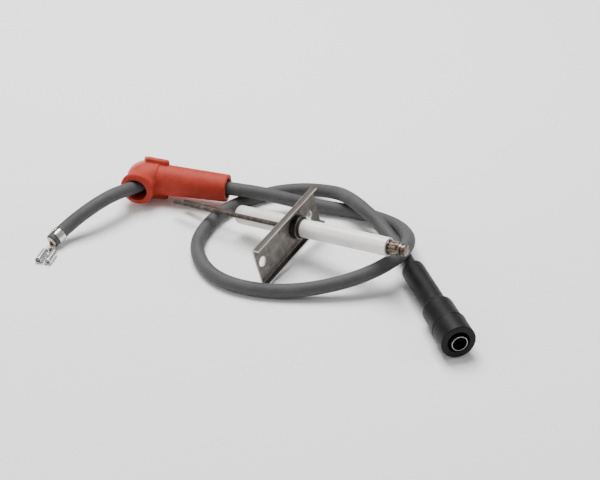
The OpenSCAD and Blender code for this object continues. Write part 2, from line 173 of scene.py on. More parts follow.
def fit(piece, body, slot, finish, *nodes):
    """Gives a piece its finish and body, and prints how far it is from its CAD box. The slot is not
    used.
    """
    if not piece.data.materials:
        piece.data.materials.append(finish)
    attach(piece, body)
    if nodes:
        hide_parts(*nodes)
        boxes = np.array([[list(c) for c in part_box(n)] for n in nodes])
        target = np.array([boxes[:, 0].min(0), boxes[:, 1].max(0)])
        own = np.array([list(v.co) for v in piece.data.vertices])
        off = np.abs(np.array([own.min(0), own.max(0)]) - target).max() / MM
        print(f"{piece.name}: {len(piece.data.polygons)} faces, {off:.2f} mm from its CAD box")
    return piece


# %% [markdown]
# ## Finishes are built from the same few parts
# A finish starts from Blender's Principled shader. Noise in the piece's own coordinates changes the
# colour a little from place to place and lifts or lowers the surface, at the scale of the real
# grain. Values that are the same all over are typed straight into the shader.

# %% Parts of a finish
tree = None         # the nodes of the finish that is being made


def new_finish(name, colour, roughness, metallic=0.0, **extra):
    """A material with one Principled shader, whose plain values are set on its own sockets.

    The functions below add their nodes to the newest finish.
    """
    global tree
    finish = bpy.data.materials.new(name)
    finish.use_nodes = True
    tree = finish.node_tree
    shader = shader_of()
    shader.inputs["Base Color"].default_value = (*colour, 1)
    shader.inputs["Roughness"].default_value = roughness
    shader.inputs["Metallic"].default_value = metallic
    for socket, value in extra.items():
        shader.inputs[socket.replace("_", " ")].default_value = value
    finish.diffuse_color = (*colour, 1)
    return finish


def add_node(kind, **values):
    """A node of that kind, with its settings given by name."""
    made = tree.nodes.new(kind)
    for key, value in values.items():
        setattr(made, key, value)
    return made


def wire(source, target):
    tree.links.new(source, target)


def shader_of():
    return tree.nodes["Principled BSDF"]


def coordinates(turn, at=(0, 0, 0), stretch=(1, 1, 1), output="Object"):
    """The piece's own coordinates with a frame's turn, place and stretch undone."""
    source = add_node("ShaderNodeTexCoord").outputs[output]
    mapping = add_node("ShaderNodeMapping", vector_type="TEXTURE")
    mapping.inputs["Location"].default_value = at
    mapping.inputs["Rotation"].default_value = [radians(t) for t in turn]
    mapping.inputs["Scale"].default_value = stretch
    wire(source, mapping.inputs["Vector"])
    return mapping.outputs["Vector"]


def noise(grain, detail=4.0, stretch=(1, 1, 1), along=False, roughness=0.6, part=None):
    """Noise with spots about `grain` mm wide, `stretch` times longer along each axis.

    It reads Object coordinates, turned as the frame `part` where there is one, or the UV map.
    """
    turn = part[1] if part else (0, 0, 0)
    vector = coordinates(turn, stretch=stretch, output="UV" if along else "Object")
    spots = add_node("ShaderNodeTexNoise")
    spots.inputs["Scale"].default_value = 1 / (grain * MM)
    spots.inputs["Detail"].default_value = detail
    spots.inputs["Roughness"].default_value = roughness
    wire(vector, spots.inputs["Vector"])
    return spots.outputs["Fac"]


def ramp(value, *stops):
    """A colour, or a grey, for each value: stops are (value, colour or grey)."""
    made = add_node("ShaderNodeValToRGB")
    steps = made.color_ramp.elements
    while len(steps) < len(stops):
        steps.new(0.5)
    for step, (at, tone) in zip(steps, stops):
        step.position = at
        step.color = (*tone, 1) if hasattr(tone, "__len__") else (tone, tone, tone, 1)
    wire(value, made.inputs["Fac"])
    return made.outputs["Color"]


def mix(share, low, high):
    """low where share is 0 and high where it is 1; each is a socket or a plain colour."""
    made = add_node("ShaderNodeMix", data_type="RGBA")
    for socket, value in ((made.inputs[0], share), (made.inputs[6], low), (made.inputs[7], high)):
        if isinstance(value, bpy.types.NodeSocket):
            wire(value, socket)
        else:
            socket.default_value = (*value, 1) if hasattr(value, "__len__") else value
    return made.outputs[2]


def mask(name):
    """A number stored on the piece's own points, from 0 to 1."""
    return add_node("ShaderNodeAttribute", attribute_name=name).outputs["Fac"]


def relief(*layers):
    """Bumps from (height, depth in mm) layers, each on top of the one before."""
    normal = None
    for height, depth in layers:
        made = add_node("ShaderNodeBump")
        made.inputs["Distance"].default_value = depth * MM
        wire(height, made.inputs["Height"])
        if normal is not None:
            wire(normal, made.inputs["Normal"])
        normal = made.outputs["Normal"]
    wire(normal, shader_of().inputs["Normal"])


def colour(source):
    wire(source, shader_of().inputs["Base Color"])


def rough(source):
    wire(source, shader_of().inputs["Roughness"])


def grainy(name, plain, roughness, metallic, grain, detail, dark, light, depth,
           at=(0.3, 0.7), **extra):
    """A finish with one noise, from dark to light, that lifts the surface by `depth` mm."""
    finish = new_finish(name, plain, roughness, metallic, **extra)
    spots = noise(grain, detail)
    colour(ramp(spots, (at[0], dark), (at[1], light)))
    relief((spots, depth))
    return finish


def store(piece, name, values):
    """Keeps one number per point on the piece, for its finish to read."""
    layer = piece.data.attributes.new(name, "FLOAT", "POINT")
    layer.data.foreach_set("value", np.asarray(values, np.float32))


def points_of(piece):
    flat = np.zeros(3 * len(piece.data.vertices))
    piece.data.vertices.foreach_get("co", flat)
    return flat.reshape(-1, 3)


# %% [markdown]
# ## The silicone cable
# The sheath is extruded silicone: dull mid-grey, with a fine speckle, faint lines along its length
# and a little dust. The pattern follows the cable, so it reads the piece's own UV map, in metres
# along and round it. The tube is the line with a circle at every point, and its ends close with
# rings that shrink to the middle over a small round edge.

# %% Sweep a circle along a line
def headings(line):
    """The unit direction of the line at each of its points."""
    direction = np.gradient(line, axis=0)
    return direction / np.linalg.norm(direction, axis=1, keepdims=True)


def sweep(line, direction, radii, sides=32, flat_side=None):
    """Rings of points round a line: p + r (cos a * side + sin a * up).

    up is side x direction. side lies level, or is flat_side for a line that lies in one plane.
    """
    side = np.cross(direction, [0, 0, 1])
    if flat_side is not None:
        side = np.tile(flat_side, (len(line), 1))
    side = side / np.linalg.norm(side, axis=1, keepdims=True)
    up = np.cross(side, direction)
    angle = 2 * pi * np.arange(sides) / sides
    ring = np.cos(angle)[:, None] * side[:, None] + np.sin(angle)[:, None] * up[:, None]
    return line[:, None] + np.asarray(radii)[:, None, None] * ring


def round_ends(line, r, edge, steps=5):
    """Points, directions and radii of a bar along the line, its ends closed over a round edge."""
    turn = np.linspace(0, pi / 2, steps)
    back = edge * (1 - np.cos(turn[::-1]))
    ring = r - edge * (1 - np.sin(turn[::-1]))[::-1]
    direction = headings(line)
    head = line[0] + direction[0] * back[::-1, None]
    tail = line[-1] - direction[-1] * back[:, None]
    whole = np.concatenate([line[:1], head, line[2:-2], tail, line[-1:]])
    ways = [direction[:1]] * (steps + 1) + [direction[2:-2]] + [direction[-1:]] * (steps + 1)
    radii = np.concatenate([[0], ring, np.full(len(line) - 4, r), ring[::-1], [0]])
    return whole, np.concatenate(ways), radii


def tube_piece(name, line, r, edge, sides=32, flat_side=None):
    """A closed round bar along a line, with a UV map in metres along it and round it."""
    whole, direction, radii = round_ends(line, r, edge)
    rings = sweep(whole, direction, radii, sides, flat_side)
    run = np.concatenate([[0], np.cumsum(np.linalg.norm(np.diff(whole, axis=0), axis=1))])
    faces = grid_quads(len(whole), sides)
    i, j = faces[:, 0] // sides, faces[:, 0] % sides
    along = np.stack([run[i], run[i], run[i + 1], run[i + 1]], -1)
    round_it = np.stack([j, j + 1, j + 1, j], -1) * 2 * pi * r / sides
    return mesh_piece(name, rings, faces, np.stack([along, round_it], -1))


cable = tube_piece("cable", cable_line, cable_r, 0.5 * MM, sides=40)
print("cable has", len(cable.data.polygons), "faces")

# %% Grey silicone
grey_silicone = new_finish("grey_silicone", (0.05, 0.05, 0.05), 0.66, Specular_IOR_Level=0.25)
speckle = noise(0.35, detail=3, along=True)
lines = noise(0.5, detail=2, stretch=(33, 1, 1), along=True)
cloud = noise(9, detail=3)
tone = ramp(speckle, (0.32, (0.042, 0.042, 0.042)), (0.68, (0.082, 0.082, 0.083)))
pale_patches = ramp(cloud, (0.45, 0.0), (0.8, 0.35))
colour(mix(pale_patches, tone, (0.125, 0.125, 0.125)))
rough(ramp(cloud, (0.3, 0.55), (0.7, 0.7)))
relief((lines, 0.03), (speckle, 0.05))
fit(cable, "lead", "silicone_cable", grey_silicone, "cable_jacket")

# %% [markdown]
# ## Where each piece lies, and turned shapes
# The parts were designed in five small frames, each a place in millimetres and a turn in degrees:
# along the insulator, along the black boot, in the elbow, on the connector and at the cable's end.
# Most parts came off a lathe, so they are outlines turned about their X axis. No real edge is
# perfectly sharp, and a small curve at each corner catches the light, so every corner has its ease.

# %% Frames, outlines with eased corners, and turning
electrode = ((3.36, -0.37, 15.91), (9.8, -8.4, -34.2))
boot = ((60.24, -23.9, 6.56), (0, -2.2, -74.7))
elbow = ((-75.8, 54.85, 11.0), (0, 0, -14.3))
connector = ((-116.9, 5.0, 0.0), (0, 0, -104))
cable_tip = ((-118.1, 4.3, 3.9), (0, 18.6, -130.9))


def place(points, frame_of_part):
    """Points in mm, turned about X, then Y, then Z, and moved into the whole model, in metres."""
    at, turn = frame_of_part
    matrix = np.array(Euler([radians(t) for t in turn]).to_matrix())
    return (np.asarray(points) @ matrix.T + to_origin + np.array(at)) * MM


def rounded(corners, steps=5):
    """An outline of (x, y, ease) corners, each corner c turned into a short curve.

    The curve is (1 - t)^2 a + 2 t (1 - t) c + t^2 b, where a lies `ease` before c and b after it.
    """
    corner = np.array(corners, float)
    c, ease = corner[:, :2], corner[:, 2:]
    before, after = np.roll(c, 1, axis=0) - c, np.roll(c, -1, axis=0) - c
    a = (c + ease * before / np.linalg.norm(before, axis=1, keepdims=True))[:, None]
    b = (c + ease * after / np.linalg.norm(after, axis=1, keepdims=True))[:, None]
    t = np.linspace(0, 1, steps)[None, :, None]
    return ((1 - t) ** 2 * a + 2 * t * (1 - t) * c[:, None] + t**2 * b).reshape(-1, 2)


def turned(corners, sides=64, closed=True, steps=5, shape=None):
    """Points and faces of an outline of (x, r, ease) turned about X: (x, r cos a, r sin a).

    shape(x, r, a), where there is one, gives the radius for each angle instead of r.
    """
    x, r = rounded(corners, steps).T[:, :, None]
    angle = 2 * pi * np.arange(sides) / sides
    r = r + 0 * angle if shape is None else shape(x, r + 0 * angle, angle)
    points = np.stack([x + 0 * r, r * np.cos(angle), r * np.sin(angle)], -1)
    return points.reshape(-1, 3), grid_quads(len(points), sides, loop_rows=closed)


def joined(*shells):
    """Several closed shells as one array of points and one of faces."""
    start = np.cumsum([0] + [len(points) for points, faces in shells])
    faces = [shell[1] + first for shell, first in zip(shells, start)]
    return np.concatenate([points for points, _ in shells]), np.concatenate(faces)


def turned_piece(name, corners, frame_of_part, **how):
    points, faces = turned(corners, **how)
    return mesh_piece(name, place(points, frame_of_part), faces)


# %% [markdown]
# ## Finding a place on a part in its finish
# Rust starts at the weld and soot at the tip, so some finishes need to know how far along the part
# a point is. A Mapping node undoes the part's turn, and then X, Y and Z are the part's own.

# %% The part's own X, Y and Z in a finish
def own_axes(frame_of_part):
    """Distances in metres along the part's own X, Y and Z."""
    at, turn = frame_of_part
    split = add_node("ShaderNodeSeparateXYZ")
    vector = coordinates(turn, (to_origin + np.array(at)) * MM)
    wire(vector, split.inputs["Vector"])
    return split.outputs


def span(value, low, high):
    """0 where the value is `low` mm or less, rising smoothly to 1 at `high` mm."""
    made = add_node("ShaderNodeMapRange", interpolation_type="SMOOTHSTEP")
    made.inputs["From Min"].default_value = low * MM
    made.inputs["From Max"].default_value = high * MM
    wire(value, made.inputs["Value"])
    return made.outputs["Result"]


def times(a, b):
    """Two masks multiplied."""
    made = add_node("ShaderNodeMath", operation="MULTIPLY")
    wire(a, made.inputs[0])
    wire(b, made.inputs[1])
    return made.outputs[0]


# %% [markdown]
# ## The ceramic insulator
# A tube of fired alumina, a little thicker on the burner side, with a rounded nose there and a
# small chamfer at the terminal. It is a single outline, turned. The glaze is warm white with a soft
# shine and a few specks from firing, and it lets a little light in below its surface.

# %% Insulator
nose, step_at, rear = -34.4, 0.6, 54.8      # mm along the electrode, from the bracket's plate
nose_seat, rear_seat = -31.9, 51.8
thick_r, thin_r = 4.8, 4.55
ceramic = turned_piece("insulator", [
    (nose, 2.0, 0.1), (nose, thick_r, 2.0), (step_at, thick_r, 0.02), (step_at, thin_r, 0.02),
    (rear, thin_r, 0.4), (rear, 2.6, 0.1), (rear_seat, 2.6, 0), (rear_seat, 1.3, 0),
    (nose_seat, 1.3, 0), (nose_seat, 2.0, 0),
], electrode, sides=96, steps=9)

glaze = new_finish("warm_white_glaze", (0.80, 0.77, 0.71), 0.3, Coat_Weight=0.25,
                   Coat_Roughness=0.12, Subsurface_Weight=0.12, Subsurface_Scale=0.002)
along_ceramic = own_axes(electrode)["X"]
cloudy = noise(7, detail=4)
specks = ramp(noise(0.45, detail=1), (0.70, 0.0), (0.76, 1.0))
base = ramp(cloudy, (0.3, (0.86, 0.835, 0.785)), (0.7, (0.92, 0.905, 0.87)))
sooty = times(span(along_ceramic, -27, -34.6), ramp(cloudy, (0.3, 0.2), (0.7, 0.6)))
greasy = times(span(along_ceramic, 9, 4.5), ramp(cloudy, (0.3, 0.1), (0.7, 0.55)))
stained = mix(sooty, base, (0.55, 0.50, 0.42))
stained = mix(greasy, stained, (0.50, 0.45, 0.38))
colour(mix(times(specks, cloudy), stained, (0.35, 0.30, 0.24)))
rough(ramp(cloudy, (0.3, 0.24), (0.7, 0.38)))
relief((noise(1.6, detail=3), 0.03), (specks, 0.02))
fit(ceramic, "electrode", "ceramic", glaze, "ceramic_insulator")

# %% [markdown]
# ## Cement and packing
# Cement fills the ring round the spark rod at both ends of the tube, and a dark packing ring sits
# between the ferrule and the tube. Both were pressed in while soft, so their faces are uneven: the
# end of each outline is pushed in and out by a few slow waves round the axis.

# %% Cement and packing ring
def uneven(depth):
    """A radius that swells by up to `depth` mm in three slow waves round the axis."""
    return lambda x, r, a: r + depth * (np.sin(3 * a + 2 * x) + 0.6 * np.sin(7 * a + 1.0)) / 1.6


tip_cement = turned_piece("tip_cement_fill", [
    (-34.3, 1.25, 0.1), (-34.35, 1.95, 0.15), (nose_seat, 1.95, 0), (nose_seat, 1.25, 0),
], electrode, shape=uneven(0.05))
terminal_cement = turned_piece("terminal_cement_fill", [
    (rear_seat, 1.25, 0), (rear_seat, 2.55, 0), (54.75, 2.55, 0.1), (54.75, 1.25, 0.1),
], electrode, shape=uneven(0.05))
packing = turned_piece("packing", [
    (step_at, 4.6, 0), (step_at, 5.04, 0), (4.2, 5.04, 0), (5.8, 5.0, 0.2), (5.8, 4.6, 0.1),
], electrode, sides=96, shape=uneven(0.05))

cement_paste = grainy("cement_paste", (0.62, 0.57, 0.48), 0.9, 0.0, 0.25, 5,
                      (0.42, 0.37, 0.30), (0.72, 0.68, 0.60), 0.12)
dark_packing = grainy("dark_packing", (0.02, 0.019, 0.018), 0.85, 0.0, 0.2, 4,
                      (0.010, 0.009, 0.008), (0.06, 0.055, 0.05), 0.15, at=(0.3, 0.75))
fit(tip_cement, "electrode", "cement", cement_paste, "tip_cement")
fit(terminal_cement, "electrode", "cement", cement_paste, "terminal_cement")
fit(packing, "electrode", "packing", dark_packing, "packing_ring")

# %% [markdown]
# ## The two rods
# Heat-proof alloy wire, 2.4 mm thick, which comes from drawing with faint lines along it and turns
# brown with heat. The spark rod is straight and turned down inside the terminal. The ground rod
# runs beside it and bends by a right angle, so that its foot lies on the plate's back: a line with
# one arc, swept with the same circle.

# %% Rods
rod_r, bend_r, tilt = 1.2, 3.0, radians(-10)
spark_tip, ground_tip, washer_face, rod_end = -70.3, -70.7, 55.6, 61.4
spark_rod = turned_piece("spark_wire", [
    (spark_tip, 0, 0), (spark_tip, rod_r, 0.3), (washer_face, rod_r, 0.05), (washer_face, 1.0, 0),
    (rod_end, 1.0, 0), (rod_end, 0, 0),
], electrode, sides=48, closed=False)

corner_x = -rod_r - bend_r
arc = np.linspace(0, pi / 2, 24)
path = np.concatenate([
    [[ground_tip, 0], [corner_x, 0]],
    np.stack([corner_x + bend_r * np.sin(arc), bend_r * (np.cos(arc) - 1)], -1),
    [[-rod_r, -9.0]],
])
run = np.concatenate([[0], np.cumsum(np.linalg.norm(np.diff(path, axis=0), axis=1))])
even = np.linspace(0, run[-1], 200)
flat_line = np.stack([np.interp(even, run, path[:, axis]) for axis in (0, 1)], -1)
rod_line = np.stack([flat_line[:, 0], -6.0 + flat_line[:, 1] * np.cos(tilt),
                     4.4 + flat_line[:, 1] * np.sin(tilt)], -1)
level_in_rod = [[0, -np.sin(tilt), np.cos(tilt)]]
across = place(level_in_rod, ((0, 0, 0), electrode[1]))[0] / MM - to_origin
ground_rod = tube_piece("ground_wire", place(rod_line, electrode), rod_r * MM, 0.3 * MM, 32, across)

heated_wire = new_finish("heat_browned_wire", (0.08, 0.06, 0.045), 0.5, 0.55)
drawn = noise(0.25, detail=3, stretch=(25, 1, 1), part=electrode)
scale = noise(3, detail=5)
brown = ramp(scale, (0.30, (0.022, 0.017, 0.013)), (0.52, (0.055, 0.042, 0.033)),
             (0.72, (0.11, 0.092, 0.078)))
at_tip = span(own_axes(electrode)["X"], -55, -70)
colour(mix(at_tip, brown, (0.035, 0.028, 0.024)))
rough(ramp(scale, (0.3, 0.6), (0.7, 0.42)))
relief((drawn, 0.03), (noise(0.3, detail=3), 0.02))
fit(spark_rod, "electrode", "rod_steel", heated_wire, "spark_rod")
fit(ground_rod, "electrode", "rod_steel", heated_wire, "ground_rod")

# %% [markdown]
# ## The channel bracket
# The bracket is punched from 1 mm sheet and folded along two lines. It is made the same way here: a
# flat blank with its three holes, folded by a formula, and then given its thickness. The holes are
# rings of faces between a circle and the square of grid lines round it, so the sheet stays all
# quads and its edges stay round. Solidify adds the thickness, and Bevel breaks the punched edges.

# %% A flat blank with round holes
def grid_lines(stops, step):
    """Grid lines at every stop, and about `step` apart between them."""
    runs = [np.linspace(a, b, max(2, int(round((b - a) / step)) + 1))
            for a, b in zip(stops[:-1], stops[1:])]
    return np.unique(np.concatenate(runs).round(6))


def blank(u_stops, v_stops, holes, step=1.0, rings=5):
    """Points (u, v) and faces of a flat sheet, with (u, v, r, half) holes in squares of half width.

    Between hole and square a point is centre + (1 - t) r (cos a, sin a) + t (rim of the square).
    """
    u, v = grid_lines(u_stops, step), grid_lines(v_stops, step)
    points = [np.stack(np.meshgrid(u, v, indexing="ij"), -1).reshape(-1, 2)]
    faces = grid_quads(len(u), len(v), loop_columns=False)
    middle = points[0][faces].mean(1)
    for hu, hv, r, half in holes:
        inside = np.abs(middle - [hu, hv]).max(1) < half
        faces, middle = faces[~inside], middle[~inside]
    faces, start = [faces], len(points[0])
    for hu, hv, r, half in holes:
        us, vs = (g[(g > c - half - 1e-6) & (g < c + half + 1e-6)] for g, c in ((u, hu), (v, hv)))
        rim = np.concatenate([
            np.stack([us[:-1], 0 * us[:-1] + vs[0]], -1),
            np.stack([0 * vs[:-1] + us[-1], vs[:-1]], -1),
            np.stack([us[:0:-1], 0 * us[1:] + vs[-1]], -1),
            np.stack([0 * vs[1:] + us[0], vs[:0:-1]], -1),
        ])
        away = rim - [hu, hv]
        circle = r * away / np.linalg.norm(away, axis=1, keepdims=True)
        t = np.linspace(0, 1, rings)[:, None, None]
        points.append(([hu, hv] + (1 - t) * circle + t * away).reshape(-1, 2))
        faces.append(grid_quads(rings, len(rim)) + start)
        start += rings * len(rim)
    return np.concatenate(points), np.concatenate(faces)


plate_low, plate_high, fold_r, sheet_t, flange = -9.1, 9.5, 1.1, 1.0, 2.4
arc_length = fold_r * pi / 2
bracket_holes = [(-29.6, 1.0, 2.6, 3.8), (11.3, -1.8, 2.6, 3.8), (0.0, 0.0, 5.92, 7.4)]
flat_sheet, sheet_faces = blank(
    [-33.8, -33.4, -25.8, -7.4, 7.4, 7.5, 15.1, 18.7],
    [plate_low - arc_length - flange, plate_low - arc_length, plate_low, -7.4, -5.6, -2.8, 2.0, 4.8,
     7.4, plate_high, plate_high + arc_length, plate_high + arc_length + flange],
    bracket_holes, step=0.8)
print("blank:", len(sheet_faces), "faces,", round(np.ptp(flat_sheet[:, 1]), 1), "mm wide")

# %% Fold it, thicken it, break its edges
def folded(sheet):
    """The sheet folded past two lines: an arc of fold_r and then a straight flange.

    s is how far a point lies past the line. Its turn is s / fold_r, up to a right angle, so
    depth = t / 2 + fold_r (1 - cos turn) + what is left of s, and height = line + fold_r sin turn.
    """
    u, v = sheet.T
    s = np.maximum(v - plate_high, 0) + np.maximum(plate_low - v, 0)
    turn = np.clip(s / fold_r, 0, pi / 2)
    depth = sheet_t / 2 + fold_r * (1 - np.cos(turn)) + np.maximum(s - arc_length, 0)
    height = np.clip(v, plate_low, plate_high) + np.sign(v) * fold_r * np.sin(turn)
    return np.stack([depth, u, height], -1)


bracket = mesh_piece("bracket", place(folded(flat_sheet), electrode), sheet_faces, sharp=60)
thick = bracket.modifiers.new("thickness", "SOLIDIFY")
thick.thickness, thick.offset, thick.use_even_offset = sheet_t * MM, 0, True
thick.material_offset_rim = 1
edges = bracket.modifiers.new("broken edges", "BEVEL")
edges.width, edges.segments, edges.angle_limit = 0.12 * MM, 2, radians(50)

# %% Weathered steel with painted shade on its folds and flanges, and its bright sheared edge
sheet_steel = new_finish("weathered_steel_with_painted_fold_shade", (0.2, 0.18, 0.16), 0.5, 0.55)
own = own_axes(electrode)
rolled = noise(0.3, detail=4, stretch=(1, 20, 1), part=electrode)
blotch = noise(4, detail=6, roughness=0.65)
fine = noise(0.5, detail=4)
base = ramp(blotch, (0.28, (0.12, 0.108, 0.097)), (0.5, (0.18, 0.166, 0.151)),
            (0.72, (0.25, 0.235, 0.217)))
near_weld = times(span(own["Y"], -12, -5), span(own["Z"], 1, 4))
rust = times(ramp(noise(1.1, detail=5), (0.58, 0.0), (0.63, 0.9)), near_weld)
rim_rust = ramp(noise(2.4, detail=7, roughness=0.75), (0.60, 0.0), (0.70, 0.75))
# Painted shade: the folds and flanges are painted nearly black, for the shade and the dark
# reflection on them.
painted_fold_shade = span(own["X"], 1.05, 1.5)
base = mix(painted_fold_shade, base, (0.055, 0.050, 0.047))
rusty = mix(times(rim_rust, near_weld), base, (0.12, 0.055, 0.03))
colour(mix(rust, rusty, (0.17, 0.045, 0.02)))
rough(ramp(blotch, (0.3, 0.62), (0.7, 0.40)))
relief((rolled, 0.02), (fine, 0.04), (rust, 0.08))

sheared = new_finish("sheared_steel_edge", (0.52, 0.50, 0.47), 0.32, 1.0)
torn = noise(0.18, detail=3, stretch=(5, 1, 1), part=electrode)
colour(ramp(torn, (0.3, (0.34, 0.32, 0.29)), (0.65, (0.66, 0.64, 0.60))))
relief((torn, 0.06))
bracket.data.materials.append(sheet_steel)
bracket.data.materials.append(sheared)
fit(bracket, "electrode", "bracket_steel", sheet_steel, "mounting_bracket")

# %% [markdown]
# ## Ferrule and welds
# The ferrule is a turned collar that holds the ceramic in the bracket. An ear on it lies behind
# the plate and is spot-welded there. The ear is a short bar: a rectangle with eased corners carried
# from the collar to a tip where it shrinks. A weld spot is a low turned dome, not quite round.

# %% Ferrule with its ear
collar = turned([
    (-2.2, thick_r, 0.05), (-2.2, 5.9, 0.3), (4.4, 5.9, 0.3), (4.4, 5.45, 0.1), (3.4, 5.12, 0.1),
    (step_at, 5.1, 0), (step_at, thick_r, 0),
], sides=96)

section = rounded([(-1.2, -2.5, 0.2), (0, -2.5, 0.1), (0, 2.5, 0.1), (-1.2, 2.5, 0.2)])
reach = np.concatenate([[0, 0], np.linspace(0, 1, 12), [1]])[:, None]
size = np.concatenate([[0], np.ones(11), [0.97, 0.88, 0.7, 0]])[:-1, None]
x = -0.6 + size * (section[:, 0] + 0.6)
z = size * section[:, 1]
y = (1 - reach) * np.sqrt(5.5**2 - z**2) + reach * 12.0
swing = radians(41)
c, s = np.cos(swing), np.sin(swing)
ear_points = np.stack([x, y * c - z * s, y * s + z * c], -1)
ear = ear_points.reshape(-1, 3), grid_quads(len(reach), len(section))
points, faces = joined(collar, ear)
ferrule = mesh_piece("ferrule_collar", place(points, electrode), faces)

spots = []
for wy, wz, phase in ((5.3, 5.4, 0.0), (8.6, 6.6, 2.0), (-12.4, 5.7, 4.0)):
    points, faces = turned(
        [(0.98, 0, 0), (0.98, 1.2, 0.1), (1.22, 1.12, 0.15), (1.52, 0.5, 0.3), (1.6, 0, 0)],
        sides=40, closed=False,
        shape=lambda x, r, a: r * (1 - 0.07 * (1 + np.sin(3 * a + phase) * np.cos(a))))
    spots.append((points + [0, wy, wz], faces))
points, faces = joined(*spots)
nuggets = mesh_piece("weld_spots", place(points, electrode), faces, sharp=70)

dark_steel = new_finish("dark_turned_steel", (0.09, 0.08, 0.072), 0.38, 0.9)
own = own_axes(electrode)
rings = noise(0.12, detail=2, stretch=(1, 30, 30), part=electrode)
patches = noise(2.2, detail=5)
base = ramp(patches, (0.3, (0.035, 0.032, 0.030)), (0.7, (0.10, 0.092, 0.085)))
# Painted highlight: the collar's front rim face is painted lighter than the rest of the collar.
painted_rim_highlight = span(own["X"], 4.2, 4.4)
colour(mix(painted_rim_highlight, base, (0.30, 0.29, 0.27)))
rough(ramp(patches, (0.3, 0.48), (0.7, 0.30)))
relief((rings, 0.02), (patches, 0.05))
fit(ferrule, "electrode", "ferrule_steel", dark_steel, "ferrule")

weld_bead = new_finish("weld_bead", (0.20, 0.16, 0.13), 0.45, 0.7)
crust = noise(0.35, detail=5)
colour(ramp(crust, (0.3, (0.09, 0.06, 0.045)), (0.5, (0.22, 0.18, 0.15)),
            (0.75, (0.30, 0.16, 0.09))))
relief((crust, 0.12))
fit(nuggets, "electrode", "weld", weld_bead, "weld_nuggets")

# %% [markdown]
# ## The terminal
# A washer, a nut with twelve flutes and a snap stud are threaded on the rod, and the lead's socket
# grips the stud. All three are turned outlines. The flutes are cut by the radius itself: it drops
# where a cosine of twelve times the angle is high, and stops dropping short of the nut's end.

# %% Washer, fluted nut, snap stud
washer = turned_piece("washer", [
    (rear, 1.25, 0.1), (rear, 3.75, 0.15), (washer_face, 3.75, 0.25), (washer_face, 1.25, 0.1),
], electrode, sides=72)


def fluted(x, r, a):
    """Outer points drop by 0.42 mm in twelve round flutes, which run out before x = 60."""
    cut = np.clip(np.cos(12 * a) + 0.35, 0, None) / 1.35
    return r - 0.42 * np.sqrt(cut) * (r > 2) * np.clip((60.0 - x) / 0.4, 0, 1)


nut_r, nut_face = 3.4, 60.4
run_out = [(x, nut_r, 0.02) for x in (59.5, 59.7, 59.85, 60.0)]     # rings where the flutes end
nut = turned_piece("fluted_nut", [
    (washer_face, 1.05, 0.05), (washer_face, nut_r, 0.3), *run_out, (nut_face, nut_r, 0.25),
    (nut_face, 1.05, 0.05),
], electrode, sides=240, shape=fluted)
stud = turned_piece("snap_head", [
    (rod_end, 0, 0), (rod_end, 1.0, 0), (nut_face, 1.0, 0.1), (nut_face, 3.15, 0.25),
    (62.2, 3.15, 0.3), (62.2, 2.5, 0.15), (63.0, 2.5, 0.15), (63.0, 2.9, 0.2), (64.4, 2.9, 0.5),
    (64.4, 0, 0),
], electrode, sides=72, closed=False)

plated_brass = new_finish("nickelled_brass", (0.55, 0.48, 0.40), 0.3, 1.0)
own = own_axes(electrode)
patina = noise(2.5, detail=6, roughness=0.6)
tone = ramp(patina, (0.30, (0.045, 0.036, 0.030)), (0.50, (0.13, 0.112, 0.095)),
            (0.74, (0.40, 0.37, 0.33)))
copper_patch = times(ramp(noise(2.0, detail=4), (0.50, 0.0), (0.58, 0.9)),
                     span(own["Z"], 0.5, 2.5))
colour(mix(copper_patch, tone, (0.11, 0.045, 0.028)))
rough(ramp(patina, (0.3, 0.45), (0.7, 0.22)))
relief((noise(0.2, detail=3), 0.03), (patina, 0.04))
fit(washer, "electrode", "terminal_nickel", plated_brass, "terminal_washer")
fit(nut, "electrode", "terminal_nickel", plated_brass, "terminal_nut")
fit(stud, "electrode", "terminal_nickel", plated_brass, "snap_stud")

# %% [markdown]
# ## The black boot and its socket
# The boot is moulded black rubber: a neck where the cable enters, a flare, a body and a cuff,
# hollow at the open end. Inside it a thin metal tube is the socket, with a wire clip round it and a
# brass pin through its base, crimped on the conductor. All of it is turned about the boot's axis.

# %% Boot, tube, clip, pin and the conductor's end
jacket_end, insulation_end, tube_from, tube_base = 23.2, 27.2, 29.2, 30.2    # mm into the boot
boot_shell = turned_piece("black_boot", [
    (0, 3.58, 0.1), (0, 5.75, 2.4), (34.3, 5.75, 0.8), (36.2, 7.7, 1.1), (50.9, 7.7, 0.15),
    (51.0, 8.44, 0.2), (51.7, 8.44, 0.2), (51.9, 8.22, 0.15), (63.5, 8.34, 0.7), (63.5, 5.2, 0.4),
    (43.2, 5.2, 0.2), (43.2, 3.82, 0), (tube_from, 3.82, 0), (tube_from, 3.58, 0),
], boot, sides=96, steps=9)
tube = turned_piece("socket_sleeve", [
    (tube_from, 1.42, 0), (tube_from, 3.79, 0.3), (64.7, 3.79, 0.2), (64.7, 3.42, 0.1),
    (tube_base, 3.42, 0.2), (tube_base, 1.42, 0),
], boot, sides=72)
ring_turn = np.linspace(0, 2 * pi, 16, endpoint=False)
clip_at, clip_r, clip_wire_r = 55.2, 4.1, 0.3
clip = turned_piece("clip_ring", np.stack([
    clip_at + clip_wire_r * np.cos(ring_turn), clip_r + clip_wire_r * np.sin(ring_turn),
    0 * ring_turn], -1), boot, steps=2)
pin = turned_piece("crimp_pin", [
    (insulation_end, 0.92, 0), (insulation_end, 1.4, 0.1), (28, 1.4, 0), (28, 2.2, 0.1),
    (29.15, 2.2, 0.1), (29.15, 1.4, 0), (tube_base, 1.4, 0.1), (tube_base, 0, 0),
    (tube_from, 0, 0), (tube_from, 0.92, 0),
], boot, closed=False)

